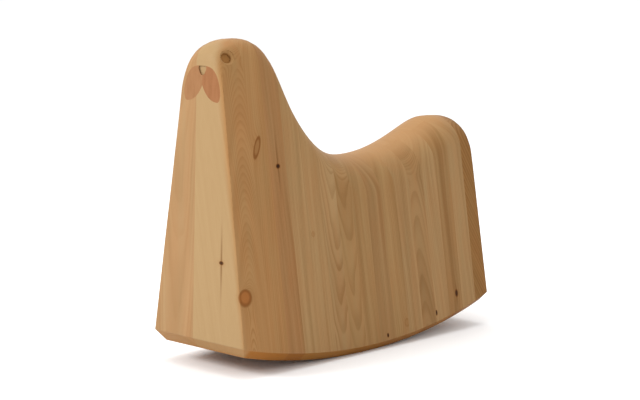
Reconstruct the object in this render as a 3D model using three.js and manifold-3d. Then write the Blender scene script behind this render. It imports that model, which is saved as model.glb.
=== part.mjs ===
// A rocking seat for a small child, shaped like a seal and carved from one glued block of pine.
// Millimetres, +Z up. The head looks along -Y and the animal's left side is +X. The origin is on
// the floor, under the middle of the body.
import * as THREE from 'three';
import { mergeVertices } from 'three/addons/utils/BufferGeometryUtils.js';
import Module from 'manifold-3d';

const wasm = await Module();
wasm.setup();

// Driving dimensions of the block
const bodyLength = 600; // front to rear, where the flat ends would meet the floor
const bodyWidth = 228; // side to side, where the flat sides would meet the floor
const sideLean = 0.145; // how far each side leans in, per unit of height
const frontLean = 0.032;
const rearLean = 0.025;

// Boards
const frontBlock = 62; // thickness of the front layer
const layerCount = 15; // thinner layers behind it, equal in thickness
const jointOffset = 13.4; // joint between the two boards of a layer, off the middle
const glueGap = 0.3;

// Rocker and the chamfer round its rim
const rockerRadius = 1105;
const rockerCentre = -17; // lowest place, under the centre of mass
const rockerFacet = 36; // length of the straight facets that stand for the arc
const rimChamferFront = 14.4;
const rimChamferRear = 11.2;

// Ridge: the line along the top, from the flat front to the flat rear
const headHeight = 529;
const headSetback = 76; // top of the head, behind the front
const browDrop = 38; // from the top of the head down to the top of the flat front
const neckSetback = 168; // middle of the neck, behind the front
const neckHeight = 426.8;
const neckSlope = THREE.MathUtils.degToRad(60.3);
const seatHeight = 318.5;
const seatPlace = 44; // lowest place of the seat, behind the middle
const rumpHeight = 368;
const rumpSetback = 50; // top of the rump, ahead of the rear
const tailDrop = 41; // from the top of the rump down to the top of the flat rear

// How far the ridge holds its direction on either side of each place, as curve handles
const browReach = 8;
const headReach = 62;
const neckReach = { above: 64, below: 65 };
const seatReach = { ahead: 90, behind: 110 };
const rumpReach = { ahead: 23, behind: 55 };
const tailReach = 38;

// Crown: how far the rounding reaches down from the ridge, and how full it is (2 is an ellipse)
const browCrown = { drop: 54, fullness: 2.8 };
const headCrown = { drop: 45, fullness: 2.55 };
const neckCrown = { drop: 50.4, fullness: 2.44 };
const seatCrown = { drop: 65, fullness: 2.15 };
const rumpCrown = { drop: 50, fullness: 2.13 };

// Face
const moustacheTipMargin = 16.5; // from the flat side in to the tip of each lobe
const moustacheDrop = 58.2; // from the top of the flat front down to the tips
const cuspDrop = 32.5; // from the top of the flat front down to the notch between the lobes
const moustacheMargin = 6.5; // from the sides of the flat front to the lobes
const moustacheTopMargin = 2;
const moustacheCrown = { drop: 54, fullness: 3.2 };
const moustacheShoulder = 0.938; // share of the way round the crown where the straight side begins
const moustacheThickness = 3;
const lobeCurve = { cuspOut: 0.16, cuspDown: 0.45, tipIn: 0.48, tipOut: 0.6, sideUp: 0.35 }; // its handles
const noseWidth = 21;
const noseHeight = 15;
const noseTopDrop = 2; // from the top of the flat front down to the nose
const noseDepth = 4;
const eyeDiameter = 18;
const eyeDepth = 8;
const eyeSetback = 52; // foot of the rib that the eyes are drilled on, behind the front
const eyeRound = 0.69; // share of the way round the crown, from the ridge to the side

// Fineness of the curved surface
const crownColumns = 16;
const ribsPerSpan = [5, 6, 5, 8, 7];
const closestRibs = 4;
const faceCurveSteps = 8;
const eyeSides = 24;
const slopeStep = 0.01; // share of the way round the crown over which its slope is taken
const mergeTolerance = 1e-4;
const rimFade = 42; // how far in from the flat ends the underside is drawn together

const pineTones = [0xc8a474, 0xbf9566, 0xcdac7f];
const moustacheTone = 0xb07c55;
const sheen = { roughness: 0.55, metalness: 0 };

const { lerp } = THREE.MathUtils;

const frontY = -bodyLength / 2;
const rearY = bodyLength / 2;
const layerThickness = (bodyLength - frontBlock) / layerCount;
const browHeight = headHeight - browDrop;
const tailHeight = rumpHeight - tailDrop;

function frontPlaneY(z) {
  return frontY + frontLean * z;
}

function rearPlaneY(z) {
  return rearY - rearLean * z;
}

function halfWidth(z) {
  return bodyWidth / 2 - sideLean * z;
}

// The ridge is five cubic curves in (y, z). Each starts where the one before it ends.
const brow = new THREE.Vector2(frontPlaneY(browHeight), browHeight);
const head = new THREE.Vector2(frontY + headSetback, headHeight);
const neck = new THREE.Vector2(frontY + neckSetback, neckHeight);
const seat = new THREE.Vector2(seatPlace, seatHeight);
const rump = new THREE.Vector2(rearY - rumpSetback, rumpHeight);
const tail = new THREE.Vector2(rearPlaneY(tailHeight), tailHeight);
const upFront = new THREE.Vector2(frontLean, 1);
const downRear = new THREE.Vector2(rearLean, -1);
const back = new THREE.Vector2(1, 0);
const downNeck = new THREE.Vector2(Math.cos(neckSlope), -Math.sin(neckSlope));

function curve(start, startWay, startReach, end, endWay, endReach) {
  const first = start.clone().addScaledVector(startWay, startReach);
  const second = end.clone().addScaledVector(endWay, -endReach);
  return new THREE.CubicBezierCurve(start, first, second, end);
}

const spans = [
  { from: browCrown, to: headCrown, curve: curve(brow, upFront, browReach, head, back, headReach) },
  { from: headCrown, to: neckCrown, curve: curve(head, back, headReach, neck, downNeck, neckReach.above) },
  {
    from: neckCrown,
    to: seatCrown,
    curve: curve(neck, downNeck, neckReach.below, seat, back, seatReach.ahead),
  },
  { from: seatCrown, to: rumpCrown, curve: curve(seat, back, seatReach.behind, rump, back, rumpReach.ahead) },
  { from: rumpCrown, to: rumpCrown, curve: curve(rump, back, rumpReach.behind, tail, downRear, tailReach) },
];
spans.forEach((span, i) => {
  span.startFoot = i === 0 ? frontY : spans[i - 1].endFoot;
  span.endFoot = i === spans.length - 1 ? rearY : span.curve.v3.x;
  span.ribs = ribsPerSpan[i];
});

// A rib is an upright section of the body. It stands on its foot and reaches up to the ridge.
function ribAt(foot) {
  const span = spans.find((candidate) => foot <= candidate.endFoot) ?? spans[spans.length - 1];
  const along = (foot - span.startFoot) / (span.endFoot - span.startFoot);
  const ridge = span.curve.getPoint(along);
  return {
    foot,
    ridgeY: ridge.x,
    ridgeZ: ridge.y,
    drop: lerp(span.from.drop, span.to.drop, THREE.MathUtils.smoothstep(along, 0, 1)),
    fullness: lerp(span.from.fullness, span.to.fullness, along),
  };
}

function arcHeight(y) {
  return rockerRadius - Math.sqrt(rockerRadius ** 2 - (y - rockerCentre) ** 2);
}

// Height of the faceted rocker. Its middle facet lies flat on the floor.
function rockerHeight(y) {
  const place = (y - rockerCentre) / rockerFacet + 0.5;
  const start = rockerCentre + (Math.floor(place) - 0.5) * rockerFacet;
  const chord = lerp(arcHeight(start), arcHeight(start + rockerFacet), place - Math.floor(place));
  return chord - arcHeight(rockerCentre + rockerFacet / 2);
}

// Ribs stand at even steps along each span, and at every corner of the faceted rocker.
function ribFeet() {
  const corners = [];
  const cornersAhead = Math.ceil((rockerCentre - frontY) / rockerFacet);
  const firstCorner = rockerCentre - (cornersAhead + 0.5) * rockerFacet;
  for (let foot = firstCorner; foot < rearY - closestRibs; foot += rockerFacet) {
    if (foot > frontY + closestRibs) corners.push(foot);
  }
  const steps = spans.flatMap(({ startFoot, endFoot, ribs }) => (
    Array.from({ length: ribs }, (_, i) => lerp(startFoot, endFoot, i / ribs))
  ));
  const clear = steps.filter((foot) => corners.every((corner) => Math.abs(corner - foot) > closestRibs));
  return [...clear, ...corners, rearY].sort((a, b) => a - b);
}

// Height of a crowned outline, at a share of the way out from the middle to the side.
function crownHeight(reach, top, crown) {
  const rise = Math.max(0, 1 - Math.abs(reach) ** crown.fullness) ** (1 / crown.fullness);
  return top - crown.drop * (1 - rise);
}

function rimChamfer(y) {
  return lerp(rimChamferFront, rimChamferRear, (y - frontY) / bodyLength);
}

// The underside stops short of the flat ends by the chamfer, and is back in step rimFade further in.
function undersideFoot(foot) {
  const front = rimChamferFront * Math.max(0, 1 - (foot - frontY) / rimFade);
  const rear = rimChamferRear * Math.max(0, 1 - (rearY - foot) / rimFade);
  return foot + front - rear;
}

// A place on a rib. side runs from -1 to 1 round the crown; row is underside, rim or crown.
function bodyPoint(side, rib, row) {
  const reach = Math.sin(side * Math.PI / 2);
  const chamfer = rimChamfer(rib.foot);
  const rimZ = rockerHeight(rib.foot) + chamfer;
  if (row === 'underside') {
    const y = undersideFoot(rib.foot);
    return new THREE.Vector3(reach * (halfWidth(rimZ) - chamfer), y, rockerHeight(y));
  }
  const z = row === 'rim' ? rimZ : crownHeight(reach, rib.ridgeZ, rib);
  const y = rib.foot + (rib.ridgeY - rib.foot) * (z / rib.ridgeZ);
  return new THREE.Vector3(reach * halfWidth(z), y, z);
}

function solidOf(geometry) {
  geometry.deleteAttribute('normal');
  geometry.deleteAttribute('uv');
  const merged = mergeVertices(geometry, mergeTolerance);
  return new wasm.Manifold(new wasm.Mesh({
    numProp: 3,
    vertProperties: new Float32Array(merged.attributes.position.array),
    triVerts: new Uint32Array(merged.index.array),
  }));
}

function geometryOf(solid) {
  const mesh = solid.getMesh();
  const geometry = new THREE.BufferGeometry();
  geometry.setAttribute('position', new THREE.BufferAttribute(mesh.vertProperties, 3));
  geometry.setIndex(new THREE.BufferAttribute(mesh.triVerts, 1));
  geometry.computeVertexNormals();
  return geometry;
}

// The whole body is a box whose faces are drawn out to the ribs.
function bodySolid() {
  const rows = ['underside', 'rim', 'crown'];
  const ribs = ribFeet().map(ribAt);
  const geometry = new THREE.BoxGeometry(2, 1, 1, crownColumns, ribs.length - 1, rows.length - 1);
  const places = geometry.attributes.position;
  for (let i = 0; i < places.count; i += 1) {
    const rib = ribs[Math.round((places.getY(i) + 0.5) * (ribs.length - 1))];
    const row = rows[Math.round((places.getZ(i) + 0.5) * (rows.length - 1))];
    const point = bodyPoint(places.getX(i), rib, row);
    places.setXYZ(i, point.x, point.y, point.z);
  }
  return solidOf(geometry);
}

// A box between two places along X and two along Y, taller than the body.
function boardBlank(lowX, highX, lowY, highY) {
  const geometry = new THREE.BoxGeometry(highX - lowX, highY - lowY, 4 * headHeight);
  geometry.translate((lowX + highX) / 2, (lowY + highY) / 2, 0);
  return solidOf(geometry);
}

// An outline in the plane of the flat front, drawn as (x, height along the front), made a solid
// that starts proud in front of it and ends depth behind it.
function faceSolid(shape, proud, depth) {
  const geometry = new THREE.ExtrudeGeometry(shape, {
    depth: proud + depth, bevelEnabled: false, curveSegments: faceCurveSteps,
  });
  geometry.translate(0, 0, -depth);
  const across = new THREE.Vector3(1, 0, 0);
  const up = new THREE.Vector3(0, frontLean, 1).normalize();
  const out = new THREE.Vector3().crossVectors(across, up);
  geometry.applyMatrix4(new THREE.Matrix4().makeBasis(across, up, out));
  geometry.translate(0, frontY, 0);
  return solidOf(geometry);
}

// One lobe of the moustache, on the side that hand says. grow makes the pocket it sits in.
function lobeShape(hand, grow) {
  const top = browHeight - moustacheTopMargin + grow;
  const tipZ = browHeight - moustacheDrop - grow;
  const cuspZ = browHeight - cuspDrop - grow;
  const middle = glueGap / 2 - grow;
  const spread = halfWidth(browHeight - moustacheDrop) - moustacheTipMargin;
  const outline = (side) => {
    const reach = Math.sin(side * Math.PI / 2);
    const z = crownHeight(reach, top, moustacheCrown);
    return new THREE.Vector2(hand * reach * (halfWidth(z) - moustacheMargin + grow), z);
  };
  const shoulder = outline(moustacheShoulder);
  const shape = new THREE.Shape();
  shape.moveTo(hand * middle, cuspZ);
  shape.bezierCurveTo(
    hand * (middle + spread * lobeCurve.cuspOut), lerp(cuspZ, tipZ, lobeCurve.cuspDown),
    hand * spread * lobeCurve.tipIn, tipZ,
    hand * spread, tipZ,
  );
  shape.bezierCurveTo(
    lerp(hand * spread, shoulder.x, lobeCurve.tipOut), tipZ,
    shoulder.x, lerp(tipZ, shoulder.y, lobeCurve.sideUp),
    shoulder.x, shoulder.y,
  );
  for (let i = faceCurveSteps - 1; i > 0; i -= 1) {
    const place = outline(moustacheShoulder * (i / faceCurveSteps));
    shape.lineTo(place.x, place.y);
  }
  shape.lineTo(hand * middle, top);
  return shape;
}

// The nose is a rounded triangle that points down.
function noseShape() {
  const top = browHeight - noseTopDrop;
  const bottom = top - noseHeight;
  const half = noseWidth / 2;
  const corner = noseWidth / 4;
  const shape = new THREE.Shape();
  shape.moveTo(corner - half, top);
  shape.lineTo(half - corner, top);
  shape.quadraticCurveTo(half, top, half - corner / 3, top - corner);
  shape.quadraticCurveTo(half / 2, bottom, 0, bottom);
  shape.quadraticCurveTo(-half / 2, bottom, corner / 3 - half, top - corner);
  shape.quadraticCurveTo(-half, top, corner - half, top);
  return shape;
}

// Each eye is a blind round hole, square to the head where it is drilled.
function eyeSolid(hand) {
  const at = (foot, side) => bodyPoint(hand * side, ribAt(foot), 'crown');
  const centre = at(frontY + eyeSetback, eyeRound);
  const alongHead = at(frontY + eyeSetback + 1, eyeRound).sub(centre);
  const roundHead = at(frontY + eyeSetback, eyeRound + slopeStep).sub(centre);
  const out = alongHead.cross(roundHead).normalize();
  out.multiplyScalar(Math.sign(out.z));
  const proud = eyeDiameter / 2;
  const geometry = new THREE.CylinderGeometry(
    eyeDiameter / 2, eyeDiameter / 2, eyeDepth + proud, eyeSides,
  );
  geometry.translate(0, (proud - eyeDepth) / 2, 0);
  geometry.applyQuaternion(new THREE.Quaternion().setFromUnitVectors(new THREE.Vector3(0, 1, 0), out));
  geometry.translate(centre.x, centre.y, centre.z);
  return solidOf(geometry);
}

function pineMaterial(tone) {
  return new THREE.MeshStandardMaterial({ color: pineTones[tone], ...sheen });
}

const group = new THREE.Group();

function addPiece(name, solid, material) {
  const mesh = new THREE.Mesh(geometryOf(solid), material);
  mesh.name = name;
  group.add(mesh);
}

const body = bodySolid();
const moustachePockets = [1, -1].map((hand) => (
  faceSolid(lobeShape(hand, glueGap), moustacheThickness, moustacheThickness)
));
const nose = faceSolid(noseShape(), noseDepth, noseDepth);
const cuts = [...moustachePockets, nose, eyeSolid(1), eyeSolid(-1)];
const carved = cuts.reduce((solid, cut) => solid.subtract(cut), body);

// Boards: each layer is a left and a right board, and the joints between them are staggered.
for (let layer = 0; layer <= layerCount; layer += 1) {
  const isFront = layer === 0;
  const isRear = layer === layerCount;
  const startY = frontY + frontBlock + (layer - 1) * layerThickness;
  const lowY = isFront ? 2 * frontY : startY + glueGap / 2;
  const highY = isRear ? 2 * rearY : startY + layerThickness - glueGap / 2;
  const joint = layer % 2 === 0 ? -jointOffset : jointOffset;
  const name = isFront ? 'front_block' : 'layer_' + String(layer).padStart(2, '0');
  const left = boardBlank(joint + glueGap / 2, bodyWidth, lowY, highY);
  const right = boardBlank(-bodyWidth, joint - glueGap / 2, lowY, highY);
  addPiece(name + '_left', carved.intersect(left), pineMaterial(layer % pineTones.length));
  addPiece(name + '_right', carved.intersect(right), pineMaterial((layer + 1) % pineTones.length));
}

for (const [name, hand] of [['moustache_left', 1], ['moustache_right', -1]]) {
  const lobe = faceSolid(lobeShape(hand, 0), 0, moustacheThickness - glueGap).subtract(nose);
  const material = new THREE.MeshStandardMaterial({ color: moustacheTone, ...sheen });
  addPiece(name, lobe, material);
}

export default group;
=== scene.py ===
import math
import random

import bpy
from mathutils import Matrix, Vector


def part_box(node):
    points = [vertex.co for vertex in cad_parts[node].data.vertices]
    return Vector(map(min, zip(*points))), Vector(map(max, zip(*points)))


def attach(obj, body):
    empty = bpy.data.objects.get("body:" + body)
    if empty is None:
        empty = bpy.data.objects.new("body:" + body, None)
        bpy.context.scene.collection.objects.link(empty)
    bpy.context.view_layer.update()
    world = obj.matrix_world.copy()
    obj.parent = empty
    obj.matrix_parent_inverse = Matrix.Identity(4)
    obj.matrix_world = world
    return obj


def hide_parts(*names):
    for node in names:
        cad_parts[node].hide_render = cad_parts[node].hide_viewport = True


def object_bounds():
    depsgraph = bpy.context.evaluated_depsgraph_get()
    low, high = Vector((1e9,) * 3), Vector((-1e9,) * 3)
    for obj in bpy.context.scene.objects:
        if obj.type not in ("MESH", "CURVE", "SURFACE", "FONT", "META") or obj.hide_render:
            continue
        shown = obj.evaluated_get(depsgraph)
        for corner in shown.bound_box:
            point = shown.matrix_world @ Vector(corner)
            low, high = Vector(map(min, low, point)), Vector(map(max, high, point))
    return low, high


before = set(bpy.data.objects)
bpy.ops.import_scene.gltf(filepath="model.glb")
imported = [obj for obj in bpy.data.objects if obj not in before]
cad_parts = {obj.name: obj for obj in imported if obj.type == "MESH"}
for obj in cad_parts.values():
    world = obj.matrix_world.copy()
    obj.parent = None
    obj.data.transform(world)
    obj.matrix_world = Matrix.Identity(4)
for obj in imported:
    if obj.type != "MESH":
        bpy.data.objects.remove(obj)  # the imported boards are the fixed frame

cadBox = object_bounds()
mm = 0.001
bpy.ops.object.select_all(action="DESELECT")

# The carved body, in mm from the floor and the flat ends
body = {
    "length": 600,
    "width": 228,
    "sideLean": 0.145,
    "frontLean": 0.032,
    "rearLean": 0.025,
    "rockerRadius": 1105,
    "rockerCentre": -17,
    "chamferFront": 14.4,
    "chamferRear": 11.2,
    "chamferFade": 42,
    "browDrop": 38,
    "headSetback": 76,
    "neck": (168, 426.8),
    "neckSlope": 60.3,
    "seat": (344, 318.5),
    "rumpSetback": 50,
    "rumpHeight": 368,
    "tailDrop": 41,
    "reaches": ((8, 62), (62, 64), (65, 90), (110, 23), (55, 38)),  # how far the ridge holds its way
    "crowns": ((54, 2.8), (45, 2.55), (50.4, 2.44), (65, 2.15), (50, 2.13), (50, 2.13)),  # drop, fullness
    "ribStep": 5,
    "columns": 56,
    "rows": 24,
    "arrisSteps": 6,
    "arrisFade": 60,
    "frontArris": ((0, 1.5), (200, 1.5), (330, 4), (430, 8), (470, 6), (491, 3.5)),  # height, radius
    "rearArris": 2.5,
    "endFacing": 0.995,
    "endFoot": 30,
    "endBorder": 1,
    "weld": 0.01,
    "smoothAngle": 32,
}


def lerp(a, b, t):
    return a + (b - a) * t


def smooth(t):
    t = min(1, max(0, t))
    return t * t * (3 - 2 * t)


frontY = -body["length"] / 2
rearY = body["length"] / 2
headHeight = cadBox[1][2] / mm
browHeight = headHeight - body["browDrop"]
tailHeight = body["rumpHeight"] - body["tailDrop"]


def halfWidth(z):
    return body["width"] / 2 - body["sideLean"] * z


def arcHeight(y):
    away = y - body["rockerCentre"]
    return body["rockerRadius"] - math.sqrt(body["rockerRadius"] ** 2 - away ** 2)


def chamferAt(foot):
    return lerp(body["chamferFront"], body["chamferRear"], (foot - frontY) / body["length"])


# The ridge along the top is five cubic curves in (y, z)
def ridgeSpans():
    slope = math.radians(body["neckSlope"])
    back, down = Vector((1, 0)), Vector((math.cos(slope), -math.sin(slope)))
    places = [
        Vector((frontY + body["frontLean"] * browHeight, browHeight)),
        Vector((frontY + body["headSetback"], headHeight)),
        Vector((frontY + body["neck"][0], body["neck"][1])),
        Vector((frontY + body["seat"][0], body["seat"][1])),
        Vector((rearY - body["rumpSetback"], body["rumpHeight"])),
        Vector((rearY - body["rearLean"] * tailHeight, tailHeight)),
    ]
    ways = [Vector((body["frontLean"], 1)), back, down, back, back, Vector((body["rearLean"], -1))]
    feet = [frontY] + [place.x for place in places[1:-1]] + [rearY]
    made = []
    for i, (leaving, arriving) in enumerate(body["reaches"]):
        start, end = places[i], places[i + 1]
        handles = (start, start + ways[i] * leaving, end - ways[i + 1] * arriving, end)
        made.append({"feet": feet[i:i + 2], "handles": handles, "crowns": body["crowns"][i:i + 2]})
    return made


spans = ridgeSpans()


# A rib is an upright section, standing on its foot and reaching up to the ridge
def ribAt(foot):
    span = next((s for s in spans if foot <= s["feet"][1]), spans[-1])
    t = (foot - span["feet"][0]) / (span["feet"][1] - span["feet"][0])
    a, b, c, d = span["handles"]
    ridge = a * (1 - t) ** 3 + b * 3 * t * (1 - t) ** 2 + c * 3 * t ** 2 * (1 - t) + d * t ** 3
    (dropA, fullA), (dropB, fullB) = span["crowns"]
    return foot, ridge, lerp(dropA, dropB, smooth(t)), lerp(fullA, fullB, t)


def crownHeight(reach, top, drop, full):
    return top - drop * (1 - max(0, 1 - abs(reach) ** full) ** (1 / full))


# side runs from -1 to 1 round the crown, rise from 0 at the rim to 1 on the crown
def skinPoint(foot, side, rise):
    foot, ridge, drop, full = ribAt(foot)
    reach = math.sin(side * math.pi / 2)
    z = lerp(arcHeight(foot) + chamferAt(foot), crownHeight(reach, ridge.y, drop, full), rise)
    return Vector((reach * halfWidth(z), foot + (ridge.x - foot) * z / ridge.y, z))


def undersidePoint(foot, side):
    fade = body["chamferFade"]
    front = body["chamferFront"] * max(0, 1 - (foot - frontY) / fade)
    rear = body["chamferRear"] * max(0, 1 - (rearY - foot) / fade)
    y = foot + front - rear
    rimZ = arcHeight(foot) + chamferAt(foot)
    return Vector((math.sin(side * math.pi / 2) * (halfWidth(rimZ) - chamferAt(foot)), y, arcHeight(y)))


def arrisRadius(z, isFront):
    if not isFront:
        return body["rearArris"]
    stops = body["frontArris"]
    for (lowZ, lowR), (highZ, highR) in zip(stops, stops[1:]):
        if z <= highZ:
            return lerp(lowR, highR, smooth((z - lowZ) / (highZ - lowZ)))
    return stops[-1][1]


# The way across a flat end, square to its outline, from a place on that outline
def inwardAt(endFoot, side, rise, onCrown):
    step = 0.01
    if onCrown:
        low, high = skinPoint(endFoot, max(-1, side - step), 1), skinPoint(endFoot, min(1, side + step), 1)
    else:
        low, high = skinPoint(endFoot, side, rise - step), skinPoint(endFoot, side, rise + step)
    lean = body["frontLean"] if endFoot < 0 else -body["rearLean"]
    inward = (high - low).cross(Vector((0, -1, lean))).normalized()
    middle = Vector((0, 0, skinPoint(endFoot, 0, 1).z / 2))
    corner = skinPoint(endFoot, side, rise)
    toMiddle = middle - corner
    toMiddle.y = 0
    return inward if inward.dot(toMiddle) > 0 else -inward


def bodyPoint(feet, side, station, row):
    steps, rows = body["arrisSteps"], body["rows"]
    index = min(max(station - steps, 0), len(feet) - 1)
    if row == 0:
        return undersidePoint(feet[index], side)
    isFront = station < len(feet) / 2 + steps
    endFoot = frontY if isFront else rearY
    intoBody = 1 if isFront else -1
    turn = max(steps - station, station - steps - len(feet) + 1, 0) / steps
    rise = (row - 1) / rows
    onCrown = row == rows + 1
    corner = skinPoint(endFoot, side, rise)
    radius = arrisRadius(corner.z, isFront)
    if turn == 0:
        fade = 1 - smooth(abs(feet[index] - endFoot) / body["arrisFade"])
        return skinPoint(feet[index] + intoBody * radius * fade, side, rise)
    if not onCrown and abs(side) < 0.999:  # inside a flat end, before its faces are joined
        corner.x *= 1 - radius / halfWidth(corner.z)
        return corner
    start = skinPoint(endFoot + intoBody * radius, side, rise)
    end = corner + inwardAt(endFoot, side, rise, onCrown) * radius
    a, b, c = (1 - turn) ** 2, math.sqrt(2) * turn * (1 - turn), turn ** 2
    return (start * a + corner * b + end * c) / (a + b + c)


def editSelect(kind, flags):
    bpy.ops.object.mode_set(mode="EDIT")
    bpy.ops.mesh.select_mode(type=kind)
    bpy.ops.mesh.select_all(action="DESELECT")
    bpy.ops.object.mode_set(mode="OBJECT")
    mesh = bpy.context.object.data
    for item, on in zip(mesh.edges if kind == "EDGE" else mesh.polygons, flags):
        item.select = on
    bpy.ops.object.mode_set(mode="EDIT")


# A cube cut into a lattice: across, along and up
def latticeCube(name, counts):
    bpy.ops.mesh.primitive_cube_add(size=2)
    made = bpy.context.object
    made.name = name
    for axis, count in enumerate(counts):
        spots = [vertex.co[axis] for vertex in made.data.vertices]
        ends = [[spots[corner] for corner in edge.vertices] for edge in made.data.edges]
        editSelect("EDGE", [abs(start - end) > 0.001 for start, end in ends])
        bpy.ops.mesh.subdivide(number_cuts=count - 1, quadcorner="STRAIGHT_CUT")
        bpy.ops.object.mode_set(mode="OBJECT")
    return made


def carveBody():
    feet = []
    for span in spans:
        low, high = span["feet"]
        count = math.ceil((high - low) / body["ribStep"])
        feet += [lerp(low, high, i / count) for i in range(count)]
    feet.append(rearY)
    along = len(feet) - 1 + 2 * body["arrisSteps"]
    up = body["rows"] + 1
    made = latticeCube("whole_body", (body["columns"], along, up))
    for vertex in made.data.vertices:
        x, y, z = vertex.co
        vertex.co = bodyPoint(feet, x, round((y + 1) / 2 * along), round((z + 1) / 2 * up)) * mm
    for way in (-1, 1):  # each flat end becomes one face, with a narrow border
        editSelect("FACE", [
            abs(side.normal.y) > body["endFacing"] and side.center.z > body["endFoot"] * mm
            and side.center.y * way > 0 for side in made.data.polygons])
        bpy.ops.mesh.dissolve_faces()
        bpy.ops.mesh.inset(thickness=body["endBorder"] * mm)
        bpy.ops.object.mode_set(mode="OBJECT")
    bpy.ops.object.mode_set(mode="EDIT")
    bpy.ops.mesh.select_all(action="SELECT")
    bpy.ops.mesh.remove_doubles(threshold=body["weld"] * mm)
    bpy.ops.mesh.normals_make_consistent(inside=False)
    bpy.ops.object.mode_set(mode="OBJECT")
    return made


wholeBody = carveBody()
print("body carved:", len(wholeBody.data.polygons), "faces")


def copyOf(piece, name):
    bpy.ops.object.select_all(action="DESELECT")
    piece.select_set(True)
    bpy.context.view_layer.objects.active = piece
    bpy.ops.object.duplicate()
    made = bpy.context.object
    made.name = name
    return made


# Keeps the side of a plane that the way points away from, and closes the cut
def sawOff(piece, place, way):
    bpy.ops.object.select_all(action="DESELECT")
    piece.select_set(True)
    bpy.context.view_layer.objects.active = piece
    bpy.ops.object.mode_set(mode="EDIT")
    bpy.ops.mesh.select_all(action="SELECT")
    bpy.ops.mesh.bisect(plane_co=place, plane_no=way, use_fill=True, clear_outer=True, threshold=1e-6)
    bpy.ops.object.mode_set(mode="OBJECT")


def sawBoards():
    nodes = sorted(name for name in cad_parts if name.endswith("_left") and "moustache" not in name)
    layers = [name[:-5] for name in nodes]
    boards = {}
    rest = copyOf(wholeBody, "rest")
    for layer, nextLayer in zip(layers, layers[1:] + [None]):
        slab = rest
        if nextLayer:
            cut = Vector((0, (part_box(layer + "_left")[1].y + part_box(nextLayer + "_left")[0].y) / 2, 0))
            slab = copyOf(rest, layer)
            sawOff(slab, cut, (0, 1, 0))
            sawOff(rest, cut, (0, -1, 0))
        jointX = (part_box(layer + "_left")[0].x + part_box(layer + "_right")[1].x) / 2
        right = copyOf(slab, layer + "_right_board")
        sawOff(right, (jointX, 0, 0), (1, 0, 0))
        sawOff(slab, (jointX, 0, 0), (-1, 0, 0))
        slab.name = layer + "_left_board"
        boards[layer + "_left"], boards[layer + "_right"] = slab, right
        print("sawn", layer)
    return boards


boards = sawBoards()

# The face, in mm from the middle and down from the top of the flat front
face = {
    "tipMargin": 16.5,
    "tipDrop": 58.2,
    "cuspDrop": 32.5,
    "margin": 6.5,
    "topMargin": 2,
    "crown": (54, 3.2),
    "shoulder": 0.938,
    "inlay": 2.2,
    "handles": (0.16, 0.45, 0.48, 0.6, 0.35),
    "noseWidth": 21,
    "noseHeight": 15,
    "noseTopDrop": 2,
    "noseDepth": 2.9,
    "proud": 5,
    "stock": 40,
    "curveSteps": 14,
}


def bezier(points, steps):
    made = []
    for i in range(steps):
        t = i / steps
        level = points
        while len(level) > 1:
            level = [a.lerp(b, t) for a, b in zip(level, level[1:])]
        made.append(level[0])
    return made


# One lobe of the moustache, as (x, z) points
def lobeOutline(hand):
    top = browHeight - face["topMargin"]
    tipZ, cuspZ = browHeight - face["tipDrop"], browHeight - face["cuspDrop"]
    cuspOut, cuspDown, tipIn, tipOut, sideUp = face["handles"]
    spread, steps = halfWidth(tipZ) - face["tipMargin"], face["curveSteps"]

    def archPoint(side):
        reach = math.sin(side * math.pi / 2)
        z = crownHeight(reach, top, *face["crown"])
        return Vector((reach * (halfWidth(z) - face["margin"]), z))

    shoulder = archPoint(face["shoulder"])
    points = bezier([
        Vector((0, cuspZ)), Vector((spread * cuspOut, lerp(cuspZ, tipZ, cuspDown))),
        Vector((spread * tipIn, tipZ)), Vector((spread, tipZ)),
    ], steps)
    points += bezier([
        Vector((spread, tipZ)), Vector((lerp(spread, shoulder.x, tipOut), tipZ)),
        Vector((shoulder.x, lerp(tipZ, shoulder.y, sideUp))), shoulder,
    ], steps)
    points += [archPoint(face["shoulder"] * i / steps) for i in range(steps, 0, -1)]
    points.append(Vector((0, top)))
    return [Vector((hand * p.x, p.y)) for p in points]


# A rounded triangle that points down
def noseOutline():
    top = browHeight - face["noseTopDrop"]
    bottom = top - face["noseHeight"]
    half, corner, steps = face["noseWidth"] / 2, face["noseWidth"] / 4, face["curveSteps"]
    right = [Vector((half - corner, top)), Vector((half, top)), Vector((half - corner / 3, top - corner))]
    below = [right[2], Vector((half / 2, bottom)), Vector((0, bottom))]
    points = bezier(right, steps) + bezier(below, steps)
    left = [Vector((-p.x, p.y)) for p in reversed(points)]
    return points + [Vector((0, bottom))] + left


# A cutter shaped like an outline, reaching from in front of the flat front to the depth given
def faceCutter(name, outline, depth):
    bpy.ops.object.select_all(action="DESELECT")
    bpy.ops.mesh.primitive_circle_add(vertices=len(outline), radius=1, fill_type="NGON")
    made = bpy.context.object
    made.name = name
    for vertex, point in zip(made.data.vertices, outline):
        y = frontY + body["frontLean"] * point.y - face["proud"]
        vertex.co = Vector((point.x, y, point.y)) * mm
    bpy.ops.object.mode_set(mode="EDIT")
    bpy.ops.mesh.select_all(action="SELECT")
    reach = (face["proud"] + depth) * mm
    bpy.ops.mesh.extrude_region_move(TRANSFORM_OT_translate={"value": (0, reach, 0)})
    bpy.ops.mesh.select_all(action="SELECT")
    bpy.ops.mesh.normals_make_consistent(inside=False)
    bpy.ops.object.mode_set(mode="OBJECT")
    return made


# The eyes, drilled square to the head
eye = {
    "setback": 52,
    "round": 0.69,
    "diameter": 17,
    "rimDiameter": 28,
    "rimDepth": 4,
    "depth": 5.4,
    "sink": 1.8,
    # how deep in the head the painted shade of each eye hole is centred
    "paintedEyeShadeDepth": 8.4,
    "rimSteps": 5,
    "proud": 6,
    "sides": 48,
}


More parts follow.
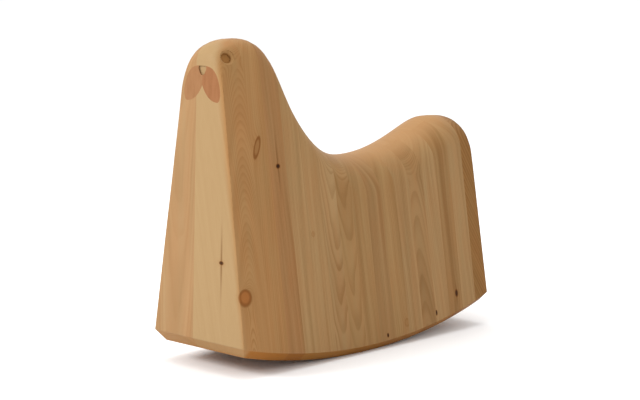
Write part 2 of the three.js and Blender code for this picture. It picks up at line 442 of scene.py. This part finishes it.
# Where an eye is drilled, and the way out of the head there
def eyeSeat(hand):
    step = 0.01
    foot = frontY + eye["setback"]
    centre = skinPoint(foot, hand * eye["round"], 1)
    alongHead = skinPoint(foot + 1, hand * eye["round"], 1) - centre
    roundHead = skinPoint(foot, hand * (eye["round"] + step), 1) - centre
    out = alongHead.cross(roundHead).normalized()
    return centre, out * math.copysign(1, out.z)


def pullUp(height):
    bpy.ops.mesh.extrude_region_move(TRANSFORM_OT_translate={"value": (0, 0, height * mm)})


def eyeCutter(hand):
    centre, out = eyeSeat(hand)
    hole, flare = eye["diameter"] / 2, (eye["rimDiameter"] - eye["diameter"]) / 2
    bpy.ops.object.select_all(action="DESELECT")
    bpy.ops.mesh.primitive_circle_add(vertices=eye["sides"], radius=hole * mm, fill_type="NGON")
    made = bpy.context.object
    made.name = "eye_cutter"
    bpy.ops.object.mode_set(mode="EDIT")
    bpy.ops.mesh.select_all(action="SELECT")
    pullUp(eye["depth"] - eye["rimDepth"])
    radius, height = hole, 0
    for i in range(1, eye["rimSteps"] + 1):  # the drilled edge is rounded over
        angle = math.pi / 2 * i / eye["rimSteps"]
        nextRadius = hole + flare * (1 - math.cos(angle))
        nextHeight = eye["rimDepth"] * math.sin(angle)
        pullUp(nextHeight - height)
        bpy.ops.transform.resize(value=(nextRadius / radius, nextRadius / radius, 1))
        radius, height = nextRadius, nextHeight
    pullUp(eye["proud"])
    bpy.ops.mesh.select_all(action="SELECT")
    bpy.ops.mesh.normals_make_consistent(inside=False)
    bpy.ops.object.mode_set(mode="OBJECT")
    made.rotation_euler = out.to_track_quat("Z", "Y").to_euler()
    made.location = (centre - out * (eye["depth"] + eye["sink"])) * mm
    bpy.ops.object.transform_apply(location=True, rotation=True, scale=True)
    return made


def cutWith(piece, cutter, operation="DIFFERENCE"):
    bpy.ops.object.select_all(action="DESELECT")
    piece.select_set(True)
    bpy.context.view_layer.objects.active = piece
    cut = piece.modifiers.new("cut", "BOOLEAN")
    cut.object = cutter
    cut.operation = operation
    cut.solver = "EXACT"
    bpy.ops.object.modifier_apply(modifier=cut.name)


def discard(*pieces):
    for piece in pieces:
        bpy.data.objects.remove(piece)


def carveFace():
    nose = faceCutter("nose_cutter", noseOutline(), face["noseDepth"])
    headLeft, headRight = boards["front_block_left"], boards["front_block_right"]
    lobes = {}
    for name, hand in (("moustache_left", 1), ("moustache_right", -1)):
        cutter = faceCutter(name + "_cutter", lobeOutline(hand), face["inlay"])
        lobe = copyOf(wholeBody, name + "_inlay")
        sawOff(lobe, (0, (frontY + face["stock"]) * mm, 0), (0, 1, 0))
        cutWith(lobe, cutter, "INTERSECT")
        cutWith(lobe, nose)
        lobes[name] = lobe
        cutWith(headLeft, cutter)
        if hand < 0:
            cutWith(headRight, cutter)
        discard(cutter)
    cutWith(headLeft, nose)
    discard(nose)
    for hand, board in ((1, headLeft), (-1, headRight)):
        drill = eyeCutter(hand)
        cutWith(board, drill)
        discard(drill)
    return lobes


lobes = carveFace()
discard(wholeBody)
pieces = {**boards, **lobes}
print("face carved")


# Finishes: shader maths is written as plain expressions on sockets
class Wire:
    def __init__(self, tree, socket):
        self.tree = tree
        self.socket = socket

    def node(self, kind, settings, values, out=0):
        made = self.tree.nodes.new(kind)
        for name, value in settings.items():
            setattr(made, name, value)
        for name, value in values.items():
            if isinstance(value, Wire):
                self.tree.links.new(value.socket, made.inputs[name])
            else:
                made.inputs[name].default_value = value
        return Wire(self.tree, made.outputs[out])

    def maths(self, operation, *others):
        return self.node("ShaderNodeMath", {"operation": operation}, dict(enumerate((self, *others))))

    def __add__(self, other):
        return self.maths("ADD", other)

    def __radd__(self, other):
        return self.maths("ADD", other)

    def __sub__(self, other):
        return self.maths("SUBTRACT", other)

    def __rsub__(self, other):
        return self.node("ShaderNodeMath", {"operation": "SUBTRACT"}, {0: other, 1: self})

    def __mul__(self, other):
        return self.maths("MULTIPLY", other)

    def __rmul__(self, other):
        return self.maths("MULTIPLY", other)

    def __truediv__(self, other):
        return self.maths("DIVIDE", other)

    def __pow__(self, other):
        return self.maths("POWER", other)

    def step(self, low, high):  # 0 below low, 1 above high, smooth between
        values = {"Value": self, "From Min": low, "From Max": high}
        return self.node("ShaderNodeMapRange", {"interpolation_type": "SMOOTHSTEP"}, values)

    def blend(self, colourA, colourB):  # colourA where this is 0, colourB where it is 1
        values = {0: self}
        for slot, colour in ((6, colourA), (7, colourB)):
            values[slot] = colour if isinstance(colour, Wire) else (*colour, 1)
        return self.node("ShaderNodeMix", {"data_type": "RGBA", "clamp_factor": True}, values, out=2)


def newMaterial(name):
    material = bpy.data.materials.new(name)
    material.use_nodes = True
    tree = material.node_tree
    return material, tree, tree.nodes["Principled BSDF"]


# Pine. Colours are linear, and a share multiplies a colour; lengths are in mm. An edge goes from where
# something starts to where it is complete
pine = {
    "tones": {
        "honey": (0.316, 0.168, 0.063),
        "amber": (0.277, 0.143, 0.055),
        "straw": (0.302, 0.176, 0.073),
        "wheat": (0.294, 0.172, 0.072),
        "tan": (0.274, 0.155, 0.060),
        "rose": (0.260, 0.145, 0.057),
        "clay": (0.256, 0.140, 0.053),
        "russet": (0.222, 0.110, 0.034),
        "peach": (0.325, 0.192, 0.088),
        "cream": (0.345, 0.226, 0.108),
    },
    "specular": 0.05,
    "warp": (45, 160),  # sizes of features in mm, across the grain and along it
    "fibre": (1.1, 26),
    "patches": (24, 180),
    "hues": (16, 220),
    "groups": (6.5, 420),
    "sapEdge": (104, 122),
    "lateWood": ((0.3, 0.85), (0.9, 1.0)),
    "amount": 0.40,
    "fibreShare": 0.22,
    "cool": (0.98, 1.03, 1.06),
    "warm": (1.04, 0.96, 0.92),
    "early": (1.09, 1.12, 1.17),
    "late": (0.76, 0.69, 0.60),
    # crown, with its edges and share, is a lighter colour painted over the top of the body: painted light
    # where the top faces the lamps
    "crown": (0.360, 0.194, 0.080),
    "paintedTopLightEdge": {"side": (2, 45), "front": (10, 40), "rear": (6, 30), "up": (235, 290)},
    "paintedTopLightShare": 0.7,
    # rim darkens the bottom chamfer: painted shade where the chamfer faces down, weaker along the front
    "rim": (0.85, 0.62, 0.30),
    "paintedRimShadeEdge": (-0.4, 0.8),
    "paintedRimShadeFront": (8, 18),
    "knots": {
        "brown": (0.275, 0.102, 0.026),
        "pale": (0.235, 0.108, 0.034),
        "black": (0.030, 0.010, 0.003),
    },
    "halo": (0.265, 0.118, 0.036),
    "knotRim": (0.165, 0.058, 0.012),
    "knotCore": (0.8, 1.05),
    "knotRing": ((0.5, 0.85), (0.95, 1.2)),
    "streak": (0.14, 0.060, 0.017),
    # eye darkens the inside of the drilled eye holes: painted shade in the recess
    "eye": (0.27, 0.125, 0.036),
    "eyeEdge": (9, 10.5),
    "roughness": 0.46,
    "bump": 0.2,
    "heartIn": (35, 80),
    "heartOff": (55, 110),
    "leanIn": (0.13, 0.16),
    "leanAlong": (-0.03, 0.03),
}

# What differs from board to board: the heart of its tree is a line from (x, y) on the floor, leaning by
# the mm in x and y that it moves for each mm up; lines and bands say how strongly the rings show
plainBoard = {"ring": 2.6, "warp": 5, "lines": 0.4, "bands": 1.5, "sap": None, "knots": ()}
leftTones = ("honey", "honey", "amber", "straw", "straw", "wheat", "tan", "tan",
             "rose", "tan", "wheat", "rose", "wheat", "clay", "wheat", "russet")
rightTones = ("peach", "amber", "straw", "honey", "wheat", "straw", "tan", "rose",
              "wheat", "straw", "tan", "wheat", "rose", "straw", "clay", "tan")
specialBoards = {
    "front_block_left": {
        "heart": (102.4, -280), "lean": (-0.245, 0.06), "ring": 1.3, "warp": 2, "lines": 0.6, "bands": 1.0,
        "sap": "cream",
        "knots": (
            {"shows": "left", "at": -284.5, "z": 131, "half": (13.5, 13), "root": 78, "face": 95,
             "kind": "brown", "fill": 1, "rim": 0.75, "bend": -6, "tail": 0},
            {"shows": "front", "at": 51, "z": 181, "half": (5, 3.2), "root": 280, "face": 294,
             "kind": "black", "fill": 0.9, "rim": 0.6, "bend": -2, "tail": 18},
        ),
    },
    "front_block_right": {"heart": (-58, -210), "lean": (0.02, 0.01), "lines": 0.25},
    "layer_01_left": {
        "knots": (
            {"shows": "left", "at": -225.5, "z": 360, "half": (6.5, 17), "root": 10, "face": 62,
             "lean": 0.37, "kind": "pale", "fill": 0.65, "rim": 0.85, "bend": -5, "tail": 0},
        ),
    },
    "layer_02_left": {
        "knots": (
            {"shows": "left", "at": -184, "z": 326, "half": (4.6, 4.2), "root": 20, "face": 67,
             "kind": "black", "fill": 1, "rim": 0.6, "bend": -3, "tail": 14},
        ),
    },
    "layer_04_left": {
        "knots": (
            {"shows": "left", "at": -121, "z": 210, "half": (4, 5), "root": 40, "face": 83,
             "kind": "pale", "fill": 0.35, "rim": 0.12, "bend": -3, "tail": 0},
        ),
    },
    "layer_05_left": {"heart": (55, -73), "lean": (-0.100, 0.02), "ring": 2.4, "warp": 7, "lines": 0.65},
    "layer_06_left": {"heart": (58, -41), "lean": (-0.105, 0), "ring": 2.6, "warp": 7, "lines": 0.65},
    "layer_08_left": {
        "knots": (
            {"shows": "left", "at": 31, "z": 22, "half": (2.6, 4), "root": 90, "face": 111,
             "kind": "black", "fill": 1, "rim": 0.5, "bend": -2, "tail": 0},
        ),
    },
    "layer_09_left": {
        "knots": (
            {"shows": "left", "at": 81, "z": 36, "half": (6, 7), "root": 70, "face": 108,
             "kind": "pale", "fill": 0.3, "rim": 0.25, "bend": -4, "tail": 0},
        ),
    },
    "layer_11_left": {"heart": (52, 130), "lean": (-0.19, 0), "ring": 2.1, "warp": 3, "lines": 0.6},
    "layer_12_left": {
        "knots": (
            {"shows": "left", "at": 158, "z": 41, "half": (2.4, 5), "root": 90, "face": 108,
             "kind": "black", "fill": 1, "rim": 0.5, "bend": -2, "tail": 0},
        ),
    },
    "layer_13_left": {
        "bands": 2.2,
        "knots": (
            {"shows": "left", "at": 215, "z": 67, "half": (4, 7), "root": 80, "face": 104,
             "kind": "black", "fill": 0.9, "rim": 0.6, "bend": -4, "tail": 4},
        ),
    },
    "layer_15_left": {"heart": (150, 480), "lean": (-0.145, -0.5), "ring": 5.5, "lines": 0.9},
    "layer_04_right": {
        "knots": (
            {"shows": "right", "at": -120, "z": 118, "half": (9, 11), "root": 45, "face": 97,
             "kind": "brown", "fill": 0.85, "rim": 0.7, "bend": -6, "tail": 0},
        ),
    },
    "layer_10_right": {
        "knots": (
            {"shows": "right", "at": 99, "z": 205, "half": (3, 4.5), "root": 50, "face": 84,
             "kind": "black", "fill": 1, "rim": 0.5, "bend": -3, "tail": 6},
        ),
    },
}


def share(colour, part):
    return tuple(a * b for a, b in zip(colour, part))


# 1 between two soft edges, 0 outside them
def between(value, rises, falls):
    return value.step(*rises) * (1 - value.step(*falls))


def pineMaterial(name, board, seed):
    material, tree, shader = newMaterial("pine_" + name)
    place = Wire(tree, tree.nodes.new("ShaderNodeTexCoord").outputs["Object"])
    x, y, z = (place.node("ShaderNodeSeparateXYZ", {}, {0: place}, out=axis) / mm for axis in range(3))
    fromFront = y - z * body["frontLean"] - frontY  # mm in from each face
    fromRear = rearY - z * body["rearLean"] - y
    fromSide = halfWidth(z) - x.maths("ABSOLUTE")

    def cloud(spotX, spotY, spotZ, detail):
        spot = place.node("ShaderNodeCombineXYZ", {}, {0: spotX, 1: spotY, 2: spotZ})
        return place.node("ShaderNodeTexNoise", {}, {"Vector": spot, "Scale": 1.0, "Detail": detail}) - 0.5

    def noise(feature, detail, shift):
        across, along = pine[feature]
        return cloud(x / across + (seed * 7.3 + shift), y / across + seed * 3.1, z / along, detail)

    heartX, heartY = board["heart"]
    leanX, leanY = board["lean"]
    awayX = x - z * leanX - heartX
    awayY = y - z * leanY - heartY
    radius = (awayX * awayX + awayY * awayY) ** 0.5 + noise("warp", 2, 0) * board["warp"]
    marks = [knotMarks(knot, x, y, z) for knot in board["knots"]]
    for knot, mark in zip(board["knots"], marks):
        radius = radius + mark["near"] * knot["bend"]

    phase = (radius / board["ring"]).maths("FRACT")
    late = between(phase, *pine["lateWood"])
    across, along = pine["groups"]  # some rings are darker together
    streaks = cloud(radius / across, z / along, seed * 3.7, 2) * board["bands"]
    fibre = noise("fibre", 3, 5)
    showing = (noise("patches", 2, 11) * 1.6 + 0.55).maths("MAXIMUM", 0.1)
    if board["sap"]:  # the rings hardly show in the sapwood, along the flat front
        heartwood = (x + z * body["sideLean"] + (y - frontY) * 0.5).step(*pine["sapEdge"])
        showing = showing * (heartwood * 0.9 + 0.1)
        streaks = streaks * (heartwood * 0.6 + 0.4)
    lines = (late - 0.3) * showing * board["lines"]
    amount = pine["amount"] + streaks + lines + fibre * pine["fibreShare"]

    hue = noise("hues", 1, 23) * 1.6 + 0.5
    tone = pine["tones"][board["tone"]]

    def ringColour(part):
        colour = share(tone, pine[part])
        mixed = hue.blend(share(colour, pine["cool"]), share(colour, pine["warm"]))
        if board["sap"]:
            mixed = heartwood.blend(share(pine["tones"][board["sap"]], pine[part]), mixed)
        return mixed

    colour = amount.blend(ringColour("early"), ringColour("late"))
    # The top of the body is painted lighter, towards the crown colour: painted light on the upward-facing
    # top
    edge = pine["paintedTopLightEdge"]
    crown = fromSide.step(*edge["side"]) * fromFront.step(*edge["front"])
    crown = crown * fromRear.step(*edge["rear"]) * z.step(*edge["up"])
    colour = (crown * pine["paintedTopLightShare"]).blend(colour, pine["crown"])
    # The bottom chamfer is painted darker: painted shade where it faces down, weaker along the front
    lift = z - (y - body["rockerCentre"]) ** 2 / (2 * body["rockerRadius"])
    rim = (chamferAt(y) - lift).step(*pine["paintedRimShadeEdge"]) * (fromFront.step(*pine["paintedRimShadeFront"]) * 0.65 + 0.35)
    colour = rim.blend(colour, share(tone, pine["rim"]))
    if "eye" in board:  # the drilled eye holes are painted darker, painted shade inside the recess
        offX, offY, offZ = (flat - spot for flat, spot in zip((x, y, z), board["eye"]))
        fromEye = (offX * offX + offY * offY + offZ * offZ) ** 0.5
        colour = (1 - fromEye.step(*pine["eyeEdge"])).blend(colour, pine["eye"])
    for knot, mark in zip(board["knots"], marks):
        colour = (mark["near"] * (knot["rim"] * 0.5)).blend(colour, pine["halo"])
        if knot["tail"]:
            colour = (mark["streak"] * 0.75).blend(colour, pine["streak"])
        colour = (mark["core"] * knot["fill"]).blend(colour, pine["knots"][knot["kind"]])
        colour = (mark["rim"] * knot["rim"]).blend(colour, pine["knotRim"])

    height = fibre + late * 0.3
    bump = place.node("ShaderNodeBump", {}, {
        "Strength": pine["bump"], "Distance": pine["bump"] * mm, "Height": height})
    rough = pine["roughness"] + fibre * 0.1 + late * 0.04
    tree.links.new(colour.socket, shader.inputs["Base Color"])
    tree.links.new(rough.socket, shader.inputs["Roughness"])
    tree.links.new(bump.socket, shader.inputs["Normal"])
    shader.inputs["Specular IOR Level"].default_value = pine["specular"]
    return material


# A knot is the stub of a branch, a cone that grows from its root to the face it shows on
def knotMarks(knot, x, y, z):
    flat, depth = {"left": (y, x), "right": (y, x * -1), "front": (x, y * -1)}[knot["shows"]]
    grown = ((depth - knot["root"]) / (knot["face"] - knot["root"])).maths("MAXIMUM", 0.05)
    rise = z - knot["z"]
    a = (flat - knot["at"] - rise * knot.get("lean", 0)) / knot["half"][0]  # in half widths and heights
    b = rise / knot["half"][1]
    away = (a * a + b * b) ** 0.5 / grown
    marks = {
        "near": (away * away * -0.35).maths("EXPONENT"),
        "core": 1 - away.step(*pine["knotCore"]),
        "rim": between(away, *pine["knotRing"]),
    }
    if knot["tail"]:
        outside = (depth - knot["root"]).step(0, 4)
        marks["streak"] = (a * a * -7 - b * b / knot["tail"] ** 2 * 1.5).maths("EXPONENT") * outside
    return marks


def finishBoards():
    draw = random.Random(11)
    for node, piece in boards.items():
        index = 0 if node.startswith("front") else int(node[6:8])
        isLeft = node.endswith("left")
        hand = 1 if isLeft else -1
        low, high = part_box(node)
        middleY = (low.y + high.y) / 2 / mm
        side = draw.choice((-1, 1))
        heartX = hand * draw.uniform(*pine["heartIn"])
        heartY = middleY + side * draw.uniform(*pine["heartOff"])
        board = {
            **plainBoard,
            "tone": (leftTones if isLeft else rightTones)[index],
            "heart": (heartX, heartY),
            "lean": (hand * -draw.uniform(*pine["leanIn"]), draw.uniform(*pine["leanAlong"])),
            **specialBoards.get(node, {}),
        }
        # the front block also gets the centre of the painted shade in its eye hole
        if index == 0:
            centre, out = eyeSeat(hand)
            board["eye"] = centre - out * eye["paintedEyeShadeDepth"]
        piece.data.materials.clear()
        piece.data.materials.append(pineMaterial(node, board, index + (0 if isLeft else 20)))
        settle(piece, node)


def settle(piece, node):
    bpy.ops.object.select_all(action="DESELECT")
    piece.select_set(True)
    bpy.context.view_layer.objects.active = piece
    bpy.ops.object.shade_smooth_by_angle(angle=math.radians(body["smoothAngle"]))
    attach(piece, "root")
    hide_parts(node)


# The moustache is a redder wood, finer in the grain
moustache = {
    "pale": {"moustache_left": (0.270, 0.118, 0.050), "moustache_right": (0.285, 0.140, 0.062)},
    "late": (0.88, 0.84, 0.80),
    "fibre": (7, 30),
}


def finishLobes():
    across, along = moustache["fibre"]
    for node, piece in lobes.items():
        material, tree, shader = newMaterial("wood_" + node)
        place = Wire(tree, tree.nodes.new("ShaderNodeTexCoord").outputs["Object"])
        scale = (1 / across / mm, 1 / across / mm, 1 / along / mm)
        spot = place.node("ShaderNodeMapping", {}, {"Vector": place, "Scale": scale})
        grain = place.node("ShaderNodeTexNoise", {}, {"Vector": spot, "Scale": 1.0, "Detail": 3.0})
        pale = moustache["pale"][node]
        colour = grain.step(0.3, 0.75).blend(pale, share(pale, moustache["late"]))
        rough = 0.48 + grain * 0.1
        shader.inputs["Specular IOR Level"].default_value = pine["specular"]
        tree.links.new(colour.socket, shader.inputs["Base Color"])
        tree.links.new(rough.socket, shader.inputs["Roughness"])
        piece.data.materials.clear()
        piece.data.materials.append(material)
        settle(piece, node)


finishBoards()
finishLobes()
print("finishes set")

studio = {
    "floor": (0.96, 0.96, 0.96),
    "floorSize": 40,  # metres
    "aim": (0, 0, 0.25),
    "world": 1.05,
    "lamps": {
        "key": {"at": (-1.6, -3.2, 2.3), "size": 1.6, "watts": 95},
        "top": {"at": (-0.4, 0.3, 3.0), "size": 2.2, "watts": 35},
    },
}


def makeStudio():
    bpy.ops.object.select_all(action="DESELECT")
    bpy.ops.mesh.primitive_plane_add(size=studio["floorSize"])
    floor = bpy.context.object
    floor.name = "studio_floor"
    material, tree, shader = newMaterial("studio_floor")
    shader.inputs["Base Color"].default_value = (*studio["floor"], 1)
    shader.inputs["Roughness"].default_value = 0.9
    floor.data.materials.append(material)
    for name, setup in studio["lamps"].items():
        lamp = bpy.data.lights.new(name, "AREA")
        lamp.shape = "DISK"
        lamp.size = setup["size"]
        lamp.energy = setup["watts"]
        made = bpy.data.objects.new(name, lamp)
        made.location = setup["at"]
        away = Vector(studio["aim"]) - made.location
        made.rotation_euler = away.to_track_quat("-Z", "Y").to_euler()
        bpy.context.scene.collection.objects.link(made)
    world = bpy.data.worlds.new("studio")
    bpy.context.scene.world = world
    world.use_nodes = True
    world.node_tree.nodes["Background"].inputs["Color"].default_value = (1, 1, 1, 1)
    world.node_tree.nodes["Background"].inputs["Strength"].default_value = studio["world"]


# Camera, in mm and degrees round the middle of the floor
camera = {
    "azimuth": 44.4,
    "elevation": 8.745,
    "distance": 3355,
    "aimRight": -13.9,
    "aimUp": 241,
    "lens": 110.1,
}


def makeCamera():
    turn, lift = math.radians(camera["azimuth"]), math.radians(camera["elevation"])
    back = Vector((math.sin(turn) * math.cos(lift), -math.cos(turn) * math.cos(lift), math.sin(lift)))
    right = Vector((math.cos(turn), math.sin(turn), 0))
    up = back.cross(right)
    lens = bpy.data.cameras.new("camera")
    lens.lens = camera["lens"]
    made = bpy.data.objects.new("camera", lens)
    made.location = (back * camera["distance"] + right * camera["aimRight"] + up * camera["aimUp"]) * mm
    made.rotation_euler = (math.pi / 2 - lift, 0, turn)
    bpy.context.scene.collection.objects.link(made)
    bpy.context.scene.camera = made


makeStudio()
makeCamera()
bpy.context.scene.view_settings.view_transform = "Standard"
